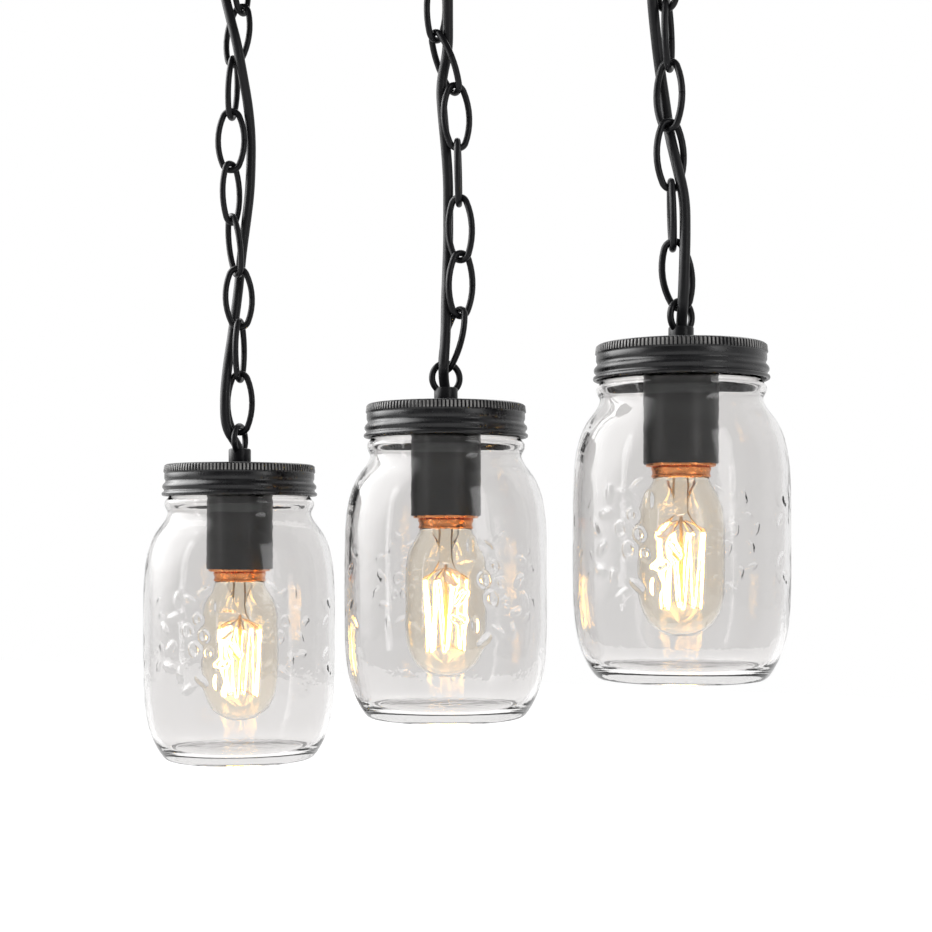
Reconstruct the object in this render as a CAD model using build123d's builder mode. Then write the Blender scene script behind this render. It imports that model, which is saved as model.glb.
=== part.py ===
from build123d import *
import os
from math import asin, cos, pi, radians, sin, sqrt, tan

# A pendant light with three glass jars in a straight row under one long canopy.
# Millimetres. The origin is on the ceiling above the middle jar, X runs along the row and Z is up.

# Row of jars
row_spacing = 113.6
jar_places = {"left": -row_spacing, "middle": 0.0, "right": row_spacing}

# Canopy and what holds it to the ceiling
canopy_length = 330.0
canopy_width = 90.0
canopy_depth = 26.0
canopy_corner = 12.0
sheet = 1.2
stud_spacing = row_spacing
stud_radius = 2.0
stud_length = 33.0
cap_nut_flats = 8.0
cap_nut_height = 8.0
bracket_length = 220.0
bracket_width = 24.0
bracket_sheet = 1.5
slot_spacing = 88.9
slot_length = 16.0
slot_width = 4.8
wire_hole_radius = 6.0
wire_hole_place = 20.0
screw_fit = 0.05

# Flat sides that stand for a full turn
jar_sides = 36
lamp_sides = 30
holder_sides = 24
small_sides = 12

# Threaded loops, one under the canopy and one on each lid
loop_wire_radius = 1.5
loop_radius = 6.85
loop_height = 12.35
collar_radius = 5.5
collar_height = 8.0
stem_radius = 4.85
stem_length = 15.0
loop_bore_radius = 3.5
loop_nut_flats = 14.0
loop_nut_height = 4.0

# Chain of oval round wire links
wire_radius = 1.5
link_pitch = 26.0
link_inner_width = 10.0
link_bow_radius = 4.4
link_gap = 0.3
bow_chords = 6

# Jar lid, rolled from sheet, with its skirt flared and curled at the bottom
lid_radius = 37.0
lid_curl_radius = 38.1
lid_straight = 7.5
lid_height = 15.5
lid_inner_radius = 35.5
lid_sheet = 1.2

# Lamp holder: an outer cover, the insulating body and the threaded shell
cover_radius = 16.25
cover_wall = 0.9
cover_bottom = 52.0
body_radius = 15.2
body_bottom = 50.0
cavity_radius = 13.9
cavity_top = 24.0
shell_radius = 13.8
shell_wall = 0.5
shell_top = 28.0
shell_flange = 15.1
stem_reach = 12.0

# Lamp
cap_radius = 13.0
cap_top = 33.0
cap_bottom = 57.5
cap_contact_radius = 5.0
cap_cone = 4.0
mount_top_radius = 6.0
mount_end_radius = 3.0
mount_length = 16.0
filament_radius = 10.5
filament_top = 82.0
filament_bottom = 114.0
filament_wire = 0.7
filament_legs = 8

# Lamp glass: radius and depth under the lid's top
bulb_outside = [(12.4, 57.5), (19.0, 70.0), (19.0, 108.0), (16.8, 117.5), (10.5, 123.8), (3.0, 126.0)]
bulb_inside = [(11.4, 57.5), (18.2, 70.0), (18.2, 108.0), (9.8, 122.4), (3.0, 125.0)]

# Fittings inside the canopy
block_length = 34.0
block_width = 18.0
block_height = 12.0
block_place = -85.0
pocket_spacing = 10.0
pocket_width = 5.0
pocket_height = 6.0
pocket_depth = 6.0
earth_place = 80.0
earth_radius = 4.5
earth_height = 3.5

# Jar outline: radius and depth under the lid's top
jar_outside = [
    (34.0, 1.4), (35.0, 16.2), (37.0, 19.4), (35.2, 23.6), (38.6, 30.2), (42.8, 36.6),
    (45.7, 47.5), (47.0, 66.0), (47.0, 109.0), (45.0, 127.0), (41.4, 137.6), (36.6, 144.5),
]
jar_inside = [(31.6, 1.4), (32.0, 24.0), (43.0, 47.0), (44.0, 110.0), (38.0, 136.5), (34.0, 139.5)]

# Cords hang beside the chains
cord_radius = 2.4
cord_sides = 6

# Each chain: how far the links' meeting points stand to the side of the jar's axis,
# from the canopy down, and the direction that each link's width faces
side_turn = 25.5
chain_sides = {
    "left": [0.0, 1.0, -2.8, -4.2, -4.4, -4.2, -1.0, 0.0, 0.0, 0.0],
    "middle": [0.0, -4.0, -5.0, 4.5, 5.4, 6.0, 7.2, 6.5, 0.0],
    "right": [0.0, -4.8, -6.0, -5.2, -5.0, -4.4, -3.6, 0.0],
}
link_turns = {
    "left": [90.0, 0.0, 104.5, 23.5, 84.5, -33.0, 31.5, 104.5, 10.5],
    "middle": [0.0, 75.5, -33.5, 50.5, 112.5, -7.5, 58.0, -25.5],
    "right": [90.0, -19.5, 95.5, -14.5, 45.5, 113.5, 1.5],
}
canopy_loop_turns = {"left": 0.0, "middle": 90.0, "right": 0.0}
lid_loop_turns = {"left": 100.5, "middle": 48.0, "right": 66.5}
collar_trims = {"left": 0.0, "middle": 2.7, "right": 4.6}

# Cord routes: to the side, towards the room, and height over the lid's top
cord_routes = {
    "left": [
        (0, 0, -3), (1, -0.5, 4), (-1.5, 1, 10.5), (-6.5, 3.5, 18), (-7, 4, 32.5), (-6, 2, 47),
        (-4.5, -2.5, 61.5), (-3, -6, 76), (-1.5, -8, 90.5), (0, -6.5, 105), (2.5, -3.5, 119.5),
        (4.5, -3, 134.5), (5, -4, 149), (5, -4.5, 163.5), (4, -1.5, 178), (2, 5, 192.5), (-0.5, 7.5, 207),
        (-4.5, 5.5, 221.5), (-8, 3.5, 236), (-7, 2.5, 250.5), (-2, 0.5, 258), (1, -0.5, 264.5), (0.5, 0, 271.5),
    ],
    "middle": [
        (0, 0, -3), (0.5, -1, 4), (-1, 2, 10.5), (-1, 7.5, 18), (0, 3, 32.5), (0, -2.5, 47),
        (0.5, -6.5, 61.5), (1, -8.5, 76.5), (1, -8, 91), (1, -5.5, 105.5), (0, -3.5, 120),
        (-1.5, -2, 134.5), (-2.5, -1.5, 149), (1, 0, 164), (1, 3, 178.5), (1, 6.5, 193), (2, 8, 207.5),
        (2.5, 7, 222), (0.5, 1.5, 229.5), (-0.5, -1, 236), (0, -0.5, 243),
    ],
    "right": [
        (0, -0.5, -3), (0, -1, 4), (0, 2, 10.5), (0, 6.5, 18), (0.5, 7, 33), (1, 6, 48), (1, 4.5, 63),
        (-2, 1, 78), (-4.5, -5, 93), (-6, -8.5, 108), (-8.5, -7.5, 123), (-11, -2.5, 138), (-13, 1.5, 153.5),
        (-12.5, 2.5, 168.5), (-10.5, 3, 183.5), (-7.5, 2.5, 198.5), (-1.5, 0.5, 206), (0.5, -0.5, 212.5),
        (0.5, 0, 219.5),
    ],
}


def side_point(place, side, out, height):
    turn = radians(side_turn)
    return Vector(place + side * cos(turn) + out * sin(turn), side * sin(turn) - out * cos(turn), height)


def chain_line(pendant):
    # The meeting points of a chain's links, from the canopy's loop to the lid's loop
    sides = chain_sides[pendant]
    first = -canopy_depth - collar_trims[pendant] - loop_height - loop_radius + loop_wire_radius
    height = first + link_gap / 2
    points = [side_point(jar_places[pendant], sides[0], 0, height)]
    for above, below in zip(sides, sides[1:]):
        height -= sqrt(link_pitch**2 - (below - above) ** 2)
        points.append(side_point(jar_places[pendant], below, 0, height))
    return points


def lid_height_of(pendant):
    # The lid's top lies this far under the chain's last meeting point
    return chain_line(pendant)[-1].Z + link_gap / 2 - loop_height - loop_radius + loop_wire_radius


def stack(outline, sides, mode=Mode.ADD):
    # A round form through (radius, depth) levels, closed by flat sides
    levels = []
    for radius, depth in outline:
        turns = [radians(360 / sides * side) for side in range(sides)]
        levels.append([Vector(radius * cos(turn), radius * sin(turn), -depth) for turn in turns])
    faces = [Face(Wire.make_polygon(levels[0])), Face(Wire.make_polygon(levels[-1]))]
    for upper, lower in zip(levels, levels[1:]):
        for side in range(sides):
            corners = [upper[side], upper[side - 1], lower[side - 1], lower[side]]
            faces.append(Face(Wire.make_polygon(corners)))
    add(Solid(Shell(faces)), mode=mode)


def save(part, name):
    part.label = name
    export_step(part, f"parts/{name}.step")


def hang(part, name):
    # The same piece on each pendant, under its own lid's height
    for pendant, place in jar_places.items():
        save(part.moved(Location((place, 0, lid_height_of(pendant)))), f"{pendant}_{name}")


def oval_corners():
    # A quarter of an oval at a time: a wide arc for the limb, then a tight one for half the bow
    half_width = link_inner_width / 2 + wire_radius
    bow_height = (link_pitch + link_gap) / 2 + wire_radius - link_bow_radius
    narrower = half_width - link_bow_radius
    limb_radius = (bow_height**2 + narrower**2) / (2 * narrower) + link_bow_radius
    join = asin(bow_height / (limb_radius - link_bow_radius))
    step = (pi - 2 * join) / bow_chords
    bow = link_bow_radius * (1 + 1 / cos(step / 2)) / 2
    turns = [join + step * chord for chord in range(bow_chords + 1)]
    return [(half_width, 0)] + [(bow * cos(turn), bow_height + bow * sin(turn)) for turn in turns]


def wire_link(top, bottom, turn):
    # One link: a wire bent to an oval, with flat chords for its arcs
    along = (top - bottom).normalized()
    width = Vector(cos(radians(turn)), sin(radians(turn)), 0)
    width = (width - along * width.dot(along)).normalized()
    face = Plane(origin=(top + bottom) / 2, x_dir=width, z_dir=width.cross(along))
    upper = oval_corners()
    lower = [(-x, -y) for x, y in upper]
    with BuildPart() as link:
        with BuildLine(face) as path:
            Polyline(*upper, *lower, close=True)
        start = path.line @ 0.01
        with BuildSketch(Plane(origin=start, x_dir=face.z_dir, z_dir=path.line % 0.01)):
            RegularPolygon(radius=wire_radius, side_count=6)
        sweep(path=path.line, transition=Transition.RIGHT)
    return link.part


def wire_ring(centre, turn):
    # The ring of a threaded loop, with flat chords
    width = Vector(cos(radians(turn)), sin(radians(turn)), 0)
    face = Plane(origin=centre, x_dir=width, z_dir=width.cross(Vector(0, 0, 1)))
    with BuildPart() as ring:
        with BuildLine(face) as path:
            corners = [(loop_radius * cos(radians(30 * i)), loop_radius * sin(radians(30 * i))) for i in range(12)]
            middle = ((corners[0][0] + corners[11][0]) / 2, (corners[0][1] + corners[11][1]) / 2)
            Polyline(middle, *corners, close=True)
        start = path.line @ 0
        with BuildSketch(Plane(origin=start, x_dir=face.z_dir, z_dir=path.line % 0)):
            RegularPolygon(radius=loop_wire_radius, side_count=6)
        sweep(path=path.line, transition=Transition.RIGHT)
    return ring.part


def threaded_loop(turn, trim, reach):
    # Ring, collar and stem in one piece, bored through for the cord.
    # The collar stands on a plate at height 0 and the stem goes down through it.
    with BuildPart() as loop:
        add(wire_ring(Vector(0, 0, trim + loop_height), turn))
        with BuildSketch():
            RegularPolygon(collar_radius, small_sides)
        extrude(amount=trim + collar_height)
        with BuildSketch():
            RegularPolygon(stem_radius, small_sides)
        extrude(amount=-reach)
        with BuildSketch(Plane.XY.offset(-reach)):
            RegularPolygon(loop_bore_radius, small_sides)
        extrude(amount=reach + trim + loop_height, mode=Mode.SUBTRACT)
    return loop.part


def loop_nut(bottom):
    with BuildPart() as piece:
        with BuildSketch(Plane.XY.offset(bottom)):
            RegularPolygon(loop_nut_flats / 2, 6, major_radius=False)
            RegularPolygon(stem_radius + screw_fit, small_sides, mode=Mode.SUBTRACT)
        extrude(amount=loop_nut_height)
    return piece.part


def cord_radii(points):
    # Each corner's arc is as large as its two runs allow
    radii = []
    for before, corner, after in zip(points, points[1:], points[2:]):
        run_in = corner - before
        run_out = after - corner
        half_turn = radians(run_in.get_angle(run_out) / 2)
        radii.append(0.45 * min(run_in.length, run_out.length) / tan(half_turn))
    return radii


os.makedirs("parts", exist_ok=True)

# Canopy: a pressed box, open at the ceiling
with BuildPart() as canopy_cover:
    with BuildSketch():
        RectangleRounded(canopy_length, canopy_width, canopy_corner)
    extrude(amount=-canopy_depth)
    with BuildSketch():
        RectangleRounded(canopy_length - 2 * sheet, canopy_width - 2 * sheet, canopy_corner - sheet)
    extrude(amount=-canopy_depth + sheet, mode=Mode.SUBTRACT)
    with BuildSketch(Plane.XY.offset(-canopy_depth)):
        with GridLocations(row_spacing, 0, 3, 1):
            RegularPolygon(stem_radius + screw_fit, small_sides)
        with GridLocations(stud_spacing, 0, 2, 1):
            RegularPolygon(stud_radius + screw_fit, small_sides)
    extrude(amount=sheet, mode=Mode.SUBTRACT)
save(canopy_cover.part, "canopy_cover")

# Bracket: a flat bar that is screwed to the ceiling box through its two slots
with BuildPart() as mounting_bracket:
    with BuildSketch():
        Rectangle(bracket_length, bracket_width)
        with Locations((wire_hole_place, 0)):
            Circle(wire_hole_radius, mode=Mode.SUBTRACT)
        with GridLocations(stud_spacing, 0, 2, 1):
            RegularPolygon(stud_radius + screw_fit, small_sides, mode=Mode.SUBTRACT)
        with GridLocations(slot_spacing, 0, 2, 1):
            SlotOverall(slot_length, slot_width, mode=Mode.SUBTRACT)
    extrude(amount=-bracket_sheet)
save(mounting_bracket.part, "mounting_bracket")

# Two studs hang from the bracket and hold the canopy up with cap nuts
with BuildPart() as bracket_studs:
    with BuildSketch():
        with GridLocations(stud_spacing, 0, 2, 1):
            RegularPolygon(stud_radius, small_sides)
    extrude(amount=-stud_length)
save(bracket_studs.part, "bracket_studs")

cap_nut_corner = cap_nut_flats / sqrt(3)
cap_nut_end = canopy_depth + cap_nut_height
with BuildPart() as cap_nut:
    stack([(cap_nut_corner, canopy_depth), (cap_nut_corner, cap_nut_end - 3), (cap_nut_corner - 2, cap_nut_end)], 6)
    with BuildSketch(Plane.XY.offset(-canopy_depth)):
        RegularPolygon(stud_radius + screw_fit, small_sides)
    extrude(amount=-stud_length + canopy_depth, mode=Mode.SUBTRACT)
with BuildPart() as cap_nuts:
    with GridLocations(stud_spacing, 0, 2, 1):
        add(cap_nut.part)
save(cap_nuts.part, "cap_nuts")

# Terminal block under the bracket, with a wire pocket each side for every pole
with BuildPart() as terminal_block:
    with BuildSketch(Plane.XY.offset(-bracket_sheet)):
        with Locations((block_place, 0)):
            Rectangle(block_length, block_width)
    extrude(amount=-block_height)
    for side in (-1, 1):
        with BuildSketch(Plane.XZ.offset(side * block_width / 2)):
            with Locations((block_place, -bracket_sheet - block_height / 2)):
                with GridLocations(pocket_spacing, 0, 3, 1):
                    Rectangle(pocket_width, pocket_height)
        extrude(amount=-side * pocket_depth, mode=Mode.SUBTRACT)
save(terminal_block.part, "terminal_block")

# Earth screw under the bracket
with BuildPart() as earth_screw:
    with BuildSketch(Plane.XY.offset(-bracket_sheet)):
        with Locations((earth_place, 0)):
            RegularPolygon(earth_radius, 6)
    extrude(amount=-earth_height)
save(earth_screw.part, "earth_screw")

# Loops under the canopy, with their nuts inside it
with BuildPart() as canopy_loops:
    for pendant, place in jar_places.items():
        loop = threaded_loop(canopy_loop_turns[pendant], collar_trims[pendant], stem_reach)
        add(loop.moved(Location((place, 0, -canopy_depth), (180, 0, 0))))
save(canopy_loops.part, "canopy_loops")

with BuildPart() as canopy_nuts:
    for place in jar_places.values():
        add(loop_nut(-canopy_depth + sheet).moved(Location((place, 0, 0))))
save(canopy_nuts.part, "canopy_nuts")

# Lid with the nut that clamps its loop
with BuildPart() as screw_lid:
    stack([(lid_radius, 0), (lid_radius, lid_straight), (lid_curl_radius, lid_height)], jar_sides)
    with BuildSketch(Plane.XY.offset(-lid_height)):
        RegularPolygon(lid_inner_radius, jar_sides)
    extrude(amount=lid_height - lid_sheet, mode=Mode.SUBTRACT)
    with BuildSketch():
        RegularPolygon(stem_radius + screw_fit, small_sides)
    extrude(amount=-lid_sheet, mode=Mode.SUBTRACT)
hang(screw_lid.part, "screw_lid")
hang(loop_nut(-lid_sheet - loop_nut_height), "loop_nut")

# Lamp holder, on the loop's stem under the nut
holder_top = lid_sheet + loop_nut_height
with BuildPart() as socket_cover:
    with BuildSketch(Plane.XY.offset(-holder_top)):
        RegularPolygon(cover_radius, holder_sides)
        RegularPolygon(stem_radius + screw_fit, small_sides, mode=Mode.SUBTRACT)
    extrude(amount=holder_top - cover_bottom)
    with BuildSketch(Plane.XY.offset(-cover_bottom)):
        RegularPolygon(cover_radius - cover_wall, holder_sides)
    extrude(amount=cover_bottom - holder_top - cover_wall, mode=Mode.SUBTRACT)
hang(socket_cover.part, "socket_cover")

with BuildPart() as socket_body:
    with BuildSketch(Plane.XY.offset(-holder_top - cover_wall)):
        RegularPolygon(body_radius, holder_sides)
    extrude(amount=holder_top + cover_wall - body_bottom)
    with BuildSketch(Plane.XY.offset(-body_bottom)):
        RegularPolygon(cavity_radius, holder_sides)
    extrude(amount=body_bottom - cavity_top, mode=Mode.SUBTRACT)
    with BuildSketch(Plane.XY.offset(-holder_top)):
        RegularPolygon(stem_radius + screw_fit, small_sides)
    extrude(amount=holder_top - stem_length - 1, mode=Mode.SUBTRACT)
hang(socket_body.part, "socket_body")

with BuildPart() as socket_shell:
    with BuildSketch(Plane.XY.offset(-body_bottom)):
        RegularPolygon(shell_radius, holder_sides)
    extrude(amount=body_bottom - shell_top)
    with BuildSketch(Plane.XY.offset(-body_bottom)):
        RegularPolygon(shell_flange, holder_sides)
    extrude(amount=-shell_wall)
    with BuildSketch(Plane.XY.offset(-body_bottom - shell_wall)):
        RegularPolygon(shell_radius - shell_wall, holder_sides)
    extrude(amount=body_bottom + shell_wall - shell_top, mode=Mode.SUBTRACT)
hang(socket_shell.part, "socket_shell")

# Jar, screwed up into the lid
with BuildPart() as jar:
    stack(jar_outside, jar_sides)
    stack(jar_inside, jar_sides, mode=Mode.SUBTRACT)
hang(jar.part, "jar")

# Lamp: cap, glass, glass mount and the filament's hairpins round it
with BuildPart() as bulb_cap:
    stack([(cap_contact_radius, cap_top), (cap_radius, cap_top + cap_cone), (cap_radius, cap_bottom)], holder_sides)
hang(bulb_cap.part, "bulb_cap")

with BuildPart() as bulb_glass:
    stack(bulb_outside, lamp_sides)
    stack(bulb_inside, lamp_sides, mode=Mode.SUBTRACT)
hang(bulb_glass.part, "bulb_glass")

with BuildPart() as bulb_mount:
    stack([(mount_top_radius, cap_bottom), (mount_end_radius, cap_bottom + mount_length)], small_sides)
hang(bulb_mount.part, "bulb_mount")

legs = []
for leg in range(filament_legs):
    turn = radians(360 / filament_legs * leg)
    ends = [filament_top, filament_bottom] if leg % 2 == 0 else [filament_bottom, filament_top]
    legs += [Vector(filament_radius * cos(turn), filament_radius * sin(turn), -end) for end in ends]
with BuildPart() as bulb_filament:
    with BuildLine() as hairpins:
        Polyline(*legs)
    with BuildSketch(Plane(origin=hairpins.line @ 0, z_dir=hairpins.line % 0)):
        Rectangle(filament_wire, filament_wire)
    sweep(path=hairpins.line, transition=Transition.RIGHT)
hang(bulb_filament.part, "bulb_filament")

for pendant, place in jar_places.items():
    lid_top = lid_height_of(pendant)
    meeting = chain_line(pendant)
    turns = link_turns[pendant]

    # Chain: the top link swings by itself, the others are one group
    save(wire_link(meeting[0], meeting[1], turns[0]), f"{pendant}_top_link")
    with BuildPart() as chain:
        for top, bottom, turn in zip(meeting[1:], meeting[2:], turns[1:]):
            add(wire_link(top, bottom, turn))
    save(chain.part, f"{pendant}_chain")
    loop = threaded_loop(lid_loop_turns[pendant], 0, stem_length)
    save(loop.moved(Location((place, 0, lid_top))), f"{pendant}_hanging_loop")

    # Cord: straight runs joined by arcs
    route = [side_point(place, side, out, lid_top + height) for side, out, height in cord_routes[pendant]]
    radii = cord_radii(route)
    with BuildPart() as cord:
        with BuildLine() as path:
            FilletPolyline(*route, radius=radii)
        line = path.wire()
        with BuildSketch(Plane(origin=line @ 0, z_dir=line % 0)):
            RegularPolygon(cord_radius, cord_sides)
        sweep(path=line)
    save(cord.part, f"{pendant}_cord")
    section = cord_sides / 2 * cord_radius**2 * sin(radians(360 / cord_sides))
    print(pendant, "cord radii", [round(radius) for radius in radii], "length", round(line.length),
          "volume share", round(cord.part.volume / (section * line.length), 3))
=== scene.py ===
from math import asin, atan2, cos, degrees, hypot, pi, radians, sin

import bpy
from mathutils import Matrix, Vector


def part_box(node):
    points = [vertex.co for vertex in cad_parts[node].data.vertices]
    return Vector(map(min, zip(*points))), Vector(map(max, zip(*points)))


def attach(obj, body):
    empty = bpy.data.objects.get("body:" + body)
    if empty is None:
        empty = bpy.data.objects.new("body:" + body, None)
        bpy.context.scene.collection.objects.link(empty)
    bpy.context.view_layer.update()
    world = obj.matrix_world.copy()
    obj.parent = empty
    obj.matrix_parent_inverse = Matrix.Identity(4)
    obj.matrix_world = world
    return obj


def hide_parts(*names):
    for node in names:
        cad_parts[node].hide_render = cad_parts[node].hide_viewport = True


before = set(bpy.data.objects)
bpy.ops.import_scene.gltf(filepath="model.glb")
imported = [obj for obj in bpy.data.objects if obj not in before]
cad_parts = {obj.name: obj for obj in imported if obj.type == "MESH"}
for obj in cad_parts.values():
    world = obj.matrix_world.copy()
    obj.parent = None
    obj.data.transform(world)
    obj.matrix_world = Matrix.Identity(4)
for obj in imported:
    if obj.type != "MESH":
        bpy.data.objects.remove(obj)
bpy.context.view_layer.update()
bpy.ops.object.select_all(action="DESELECT")

# Where each pendant hangs, read from its lid
pendants = {}
for side in ("left", "middle", "right"):
    low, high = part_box(f"{side}_screw_lid")
    pendants[side] = {"x": (low[0] + high[0]) / 2, "lidTop": high[2]}
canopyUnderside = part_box("canopy_cover")[0][2]


# Camera, studio and light

view = {
    "azimuth": 25.5,
    "place": (0.328, -0.666, -0.3292),
    "lens": 61.8,
    "shiftY": 0.074,
}

bpy.ops.object.camera_add(location=view["place"], rotation=(radians(90), 0, radians(view["azimuth"])))
camera = bpy.context.object
camera.data.lens = view["lens"]
camera.data.sensor_width = 36
camera.data.shift_y = view["shiftY"]
bpy.context.scene.camera = camera
bpy.context.scene.view_settings.view_transform = "Standard"

studio = {
    "floorHeight": -0.80,
    "floorSize": 8.0,
    "worldOnObject": 0.80,
    "floorLift": 0.45,
    "roomFront": 0.20,
    "roomFade": (-0.5, 0.5),
    "bankDirection": (-0.82, -0.22, 0.53),
    "bankEdge": 0.74,
    "bankMiddle": 0.95,
    "bankStrength": 9.0,
    "aim": (0, 0, -0.3),
}


def setInputs(node, values):
    for name, value in values.items():
        node.inputs[name].default_value = value


def addMath(nodes, operation):
    node = nodes.new("ShaderNodeMath")
    node.operation = operation
    return node


def seenBy(nodes, links, *kinds):
    # 1 for these kinds of ray, 0 for all others
    path = nodes.new("ShaderNodeLightPath")
    seen = path.outputs[f"Is {kinds[0]} Ray"]
    for kind in kinds[1:]:
        either = addMath(nodes, "MAXIMUM")
        links.new(seen, either.inputs[0])
        links.new(path.outputs[f"Is {kind} Ray"], either.inputs[1])
        seen = either.outputs[0]
    return seen


def paintWorld():
    # White where it is seen, straight or through glass. What mirrors the room finds it darker in front,
    # and finds a soft bank of light high on the left.
    world = bpy.data.worlds.new("studioAir")
    bpy.context.scene.world = world
    world.use_nodes = True
    nodes = world.node_tree.nodes
    links = world.node_tree.links
    seen = nodes["Background"]
    lit = nodes.new("ShaderNodeBackground")
    room = nodes.new("ShaderNodeBackground")
    for air in (seen, lit, room):
        air.inputs["Color"].default_value = (1, 1, 1, 1)
    lit.inputs["Strength"].default_value = studio["worldOnObject"]
    direction = nodes.new("ShaderNodeTexCoord")
    parts = nodes.new("ShaderNodeSeparateXYZ")
    fade = nodes.new("ShaderNodeMapRange")
    fadeStart, fadeEnd = studio["roomFade"]
    setInputs(fade, {"From Min": fadeStart, "From Max": fadeEnd, "To Min": studio["roomFront"]})
    links.new(direction.outputs["Generated"], parts.inputs["Vector"])
    links.new(parts.outputs["Y"], fade.inputs["Value"])
    towards = nodes.new("ShaderNodeVectorMath")
    towards.operation = "DOT_PRODUCT"
    towards.inputs[1].default_value = studio["bankDirection"]
    bank = nodes.new("ShaderNodeMapRange")
    bank.interpolation_type = "SMOOTHSTEP"
    setInputs(bank, {
        "From Min": studio["bankEdge"], "From Max": studio["bankMiddle"], "To Max": studio["bankStrength"],
    })
    both = addMath(nodes, "ADD")
    links.new(direction.outputs["Generated"], towards.inputs[0])
    links.new(towards.outputs["Value"], bank.inputs["Value"])
    links.new(fade.outputs["Result"], both.inputs[0])
    links.new(bank.outputs["Result"], both.inputs[1])
    links.new(both.outputs[0], room.inputs["Strength"])
    mirrored = nodes.new("ShaderNodeMixShader")
    links.new(seenBy(nodes, links, "Glossy"), mirrored.inputs["Fac"])
    links.new(lit.outputs[0], mirrored.inputs[1])
    links.new(room.outputs[0], mirrored.inputs[2])
    mixed = nodes.new("ShaderNodeMixShader")
    links.new(seenBy(nodes, links, "Camera", "Transmission"), mixed.inputs["Fac"])
    links.new(mirrored.outputs[0], mixed.inputs[1])
    links.new(seen.outputs[0], mixed.inputs[2])
    links.new(mixed.outputs[0], nodes["World Output"].inputs["Surface"])


def paperMaterial():
    paper = bpy.data.materials.new("studioPaper")
    paper.use_nodes = True
    nodes = paper.node_tree.nodes
    links = paper.node_tree.links
    matte = nodes["Principled BSDF"]
    setInputs(matte, {
        "Base Color": (0.9, 0.9, 0.9, 1), "Roughness": 0.9, "Specular IOR Level": 0.0, "Emission Color": (1, 1, 1, 1),
    })
    lift = addMath(nodes, "MULTIPLY")
    lift.inputs[1].default_value = studio["floorLift"]
    links.new(seenBy(nodes, links, "Camera", "Glossy", "Transmission"), lift.inputs[0])
    links.new(lift.outputs[0], matte.inputs["Emission Strength"])
    return paper


def buildStudio():
    # A wide paper floor that runs into the white air behind it
    bpy.ops.mesh.primitive_plane_add(size=studio["floorSize"], location=(0, 0, studio["floorHeight"]))
    paper = bpy.context.object
    paper.name = "paperFloor"
    bpy.ops.object.transform_apply(location=True)
    paper.data.materials.append(paperMaterial())


def addSoftbox(name, place, width, height, power):
    bpy.ops.object.light_add(type="AREA", location=place)
    lamp = bpy.context.object
    lamp.name = name
    lamp.data.shape = "RECTANGLE"
    lamp.data.size = width
    lamp.data.size_y = height
    lamp.data.energy = power
    lamp.rotation_euler = (Vector(studio["aim"]) - Vector(place)).to_track_quat("-Z", "Y").to_euler()


softboxes = {
    "windowRight": {"place": (1.5, -0.6, 0.25), "width": 0.50, "height": 1.2, "power": 7.0},
    "stripLeft": {"place": (-1.0, -1.1, 0.0), "width": 0.12, "height": 1.2, "power": 3.0},
    "skyBack": {"place": (-0.3, 1.4, 1.0), "width": 1.4, "height": 0.5, "power": 6},
}

paintWorld()
buildStudio()
for boxName, box in softboxes.items():
    addSoftbox(boxName, **box)
print("studio ready")


# Materials

def newSurface(name, colour, metallic, roughness, specular=0.5):
    surface = bpy.data.materials.new(name)
    surface.use_nodes = True
    shader = surface.node_tree.nodes["Principled BSDF"]
    setInputs(shader, {
        "Base Color": (*colour, 1), "Metallic": metallic, "Roughness": roughness, "Specular IOR Level": specular,
    })
    return surface


def addNoise(surface, scale):
    nodes = surface.node_tree.nodes
    place = nodes.new("ShaderNodeTexCoord")
    noise = nodes.new("ShaderNodeTexNoise")
    setInputs(noise, {"Scale": scale, "Detail": 4.0})
    surface.node_tree.links.new(place.outputs["Object"], noise.inputs["Vector"])
    return noise


def feedShader(surface, output, target):
    tree = surface.node_tree
    tree.links.new(output, tree.nodes["Principled BSDF"].inputs[target])


def varyRoughness(surface, scale, low, high):
    noise = addNoise(surface, scale)
    spread = surface.node_tree.nodes.new("ShaderNodeMapRange")
    setInputs(spread, {"From Min": 0.3, "From Max": 0.7, "To Min": low, "To Max": high})
    surface.node_tree.links.new(noise.outputs["Fac"], spread.inputs["Value"])
    feedShader(surface, spread.outputs["Result"], "Roughness")


def varyColour(surface, scale, first, second):
    noise = addNoise(surface, scale)
    ramp = surface.node_tree.nodes.new("ShaderNodeValToRGB")
    for stop, position, colour in zip(ramp.color_ramp.elements, (0.35, 0.65), (first, second)):
        stop.position = position
        stop.color = (*colour, 1)
    surface.node_tree.links.new(noise.outputs["Fac"], ramp.inputs["Fac"])
    feedShader(surface, ramp.outputs["Color"], "Base Color")


def addGrain(surface, scale, height):
    # Fine bumps, with their height in metres
    noise = addNoise(surface, scale)
    bump = surface.node_tree.nodes.new("ShaderNodeBump")
    setInputs(bump, {"Strength": 1.0, "Distance": height})
    surface.node_tree.links.new(noise.outputs["Fac"], bump.inputs["Height"])
    feedShader(surface, bump.outputs["Normal"], "Normal")


def blackEnamel(name, roughness, grainScale, specular=0.2):
    enamel = newSurface(name, (0.006, 0.006, 0.007), 0.0, roughness, specular)
    varyColour(enamel, 140, (0.004, 0.004, 0.005), (0.009, 0.009, 0.010))
    varyRoughness(enamel, 220, roughness - 0.06, roughness + 0.08)
    addGrain(enamel, grainScale, 0.00004)
    return enamel


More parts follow.
